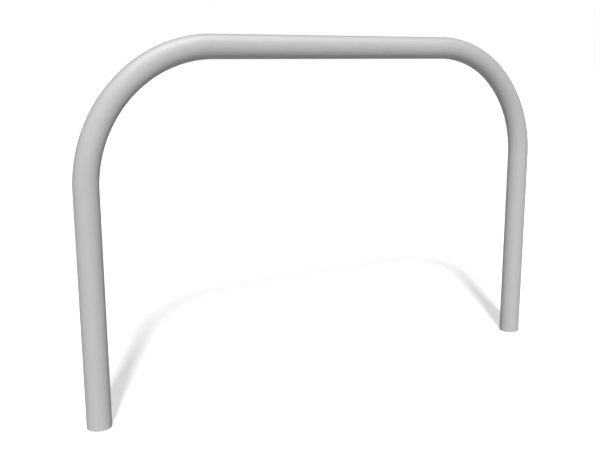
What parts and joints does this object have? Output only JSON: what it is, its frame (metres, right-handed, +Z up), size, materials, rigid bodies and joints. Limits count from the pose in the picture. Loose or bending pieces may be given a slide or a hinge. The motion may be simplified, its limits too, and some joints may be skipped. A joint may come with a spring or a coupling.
{
  "type": "hoop bike rack",
  "caption": "Hoop bike rack: a round steel tube bent into a wide arch with large rounded corners, with roots and anchor bars below ground level for casting into concrete.",
  "frame": {"origin": "finished ground level, midway between the middles of the two legs", "axes": "+X along the hoop from the left leg to the right, +Y across the hoop towards its rear, +Z up"},
  "size_m": [1.15, 0.15, 1.05],
  "materials": {
    "coated_steel": "satin",
    "galvanised_steel": "satin",
    "weld_metal": "satin",
    "cap_plastic": "matte"
  },
  "bodies": {
    "root": {"hoop_tube": "coated_steel", "left_anchor_bar": "galvanised_steel", "right_anchor_bar": "galvanised_steel", "left_front_weld": "weld_metal", "left_rear_weld": "weld_metal", "right_front_weld": "weld_metal", "right_rear_weld": "weld_metal", "left_end_cap": "cap_plastic", "right_end_cap": "cap_plastic"}
  },
  "joints": []
}
